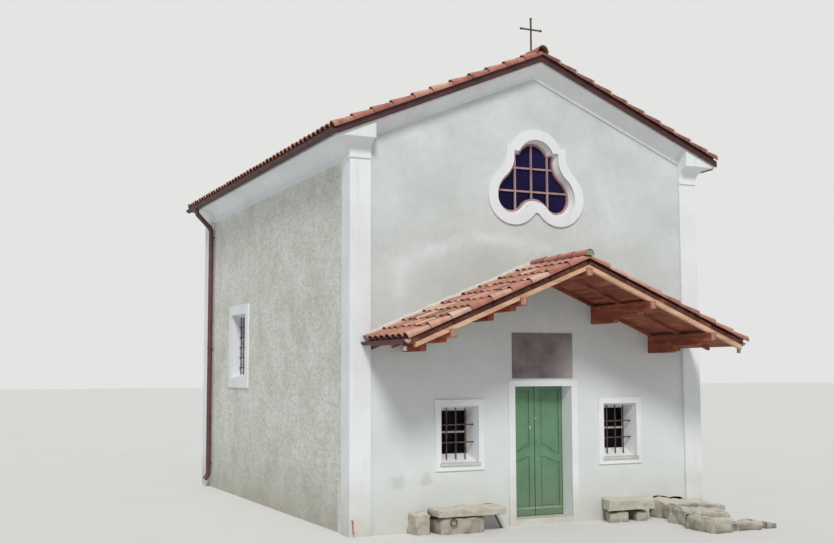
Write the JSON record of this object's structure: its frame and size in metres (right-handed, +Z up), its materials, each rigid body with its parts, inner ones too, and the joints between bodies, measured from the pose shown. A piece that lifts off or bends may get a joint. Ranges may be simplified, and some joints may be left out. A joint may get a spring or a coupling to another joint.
{
  "type": "small chapel",
  "caption": "Small rendered chapel with a tiled gable roof, heart-shaped gable window, panelled double door, barred windows, timber porch canopy and stone benches.",
  "frame": {"origin": "on the ground at the middle of the nave's plan, on the underside of the floor slab", "axes": "+X to the right seen from the front, +Y from the front to the back, +Z up; the front with the door faces -Y"},
  "size_m": [7.2246, 10.886, 8.1687],
  "materials": {
    "smooth_plaster": "smooth lime plaster with faint patches",
    "rough_render": "coarse thrown roughcast",
    "stone_floor": "worn stone flags",
    "white_trim": "smooth white-painted render",
    "roof_timber": "rough sawn timber",
    "dark_sheet_metal": "dark brown painted sheet",
    "brown_pipe": "brown painted pipe",
    "clay_tiles": "weathered barrel tiles in mixed reds",
    "wrought_iron": "rusted wrought iron",
    "green_paint": "faded green paint on boards",
    "sill_stone": "dressed grey stone",
    "window_glass": "dark glass",
    "stained_wood": "brown stained wood",
    "pale_paint": "pale painted wood",
    "bare_panel": "bare brown-grey render",
    "light_rafter_wood": "light ochre timber",
    "red_brown_wood": "red-brown stained timber",
    "field_stone": "rough split stone"
  },
  "bodies": {
    "root": {"back_wall": "rough_render", "bench_blocks": "field_stone", "bench_slabs": "field_stone", "canopy_boards_left": "red_brown_wood", "canopy_boards_right": "red_brown_wood", "canopy_corbels": "red_brown_wood", "canopy_gutters": "dark_sheet_metal", "canopy_purlins": "red_brown_wood", "canopy_rafters_left": "light_rafter_wood", "canopy_rafters_right": "light_rafter_wood", "canopy_ridge_tiles": "clay_tiles", "canopy_tiles_left": "clay_tiles", "canopy_tiles_right": "clay_tiles", "corner_pilasters": "white_trim", "cornice_left": "white_trim", "cornice_right": "white_trim", "door_pintles": "wrought_iron", "door_plaque": "bare_panel", "door_surround": "white_trim", "door_threshold": "sill_stone", "downpipes": "brown_pipe", "eaves_gutters": "dark_sheet_metal", "edge_stones": "field_stone", "floor_slab": "stone_floor", "front_ironwork": "wrought_iron", "front_wall_gable": "smooth_plaster", "front_wall_left": "smooth_plaster", "front_wall_right": "smooth_plaster", "front_window_frames": "pale_paint", "front_window_glass": "window_glass", "front_window_sills": "sill_stone", "front_window_surrounds": "white_trim", "heart_window_frame": "stained_wood", "heart_window_glass": "window_glass", "heart_window_surround": "white_trim", "left_wall": "rough_render", "raking_cornices_left": "white_trim", "raking_cornices_right": "white_trim", "ridge_tiles": "clay_tiles", "right_wall": "rough_render", "roof_beams": "roof_timber", "roof_cross": "wrought_iron", "roof_deck_left": "roof_timber", "roof_deck_right": "roof_timber", "roof_tiles_left": "clay_tiles", "roof_tiles_right": "clay_tiles", "side_window_frames": "pale_paint", "side_window_glass": "window_glass", "side_window_surrounds": "white_trim", "verge_flashings_left": "dark_sheet_metal", "verge_flashings_right": "dark_sheet_metal"},
    "leaf_left": {"door_leaf_left": "green_paint", "door_straps_left": "wrought_iron"},
    "leaf_right": {"door_leaf_right": "green_paint", "door_straps_right": "wrought_iron"}
  },
  "joints": [
    {"name": "left_leaf_hinge", "type": "hinge", "parent": "root", "child": "leaf_left", "pos_m": [-0.445, -3.985, 1.1], "axis": [0, 0, 1], "range_deg": [0, 90]},
    {"name": "right_leaf_hinge", "type": "hinge", "parent": "root", "child": "leaf_right", "pos_m": [0.685, -3.985, 1.1], "axis": [0, 0, -1], "range_deg": [0, 90]}
  ]
}
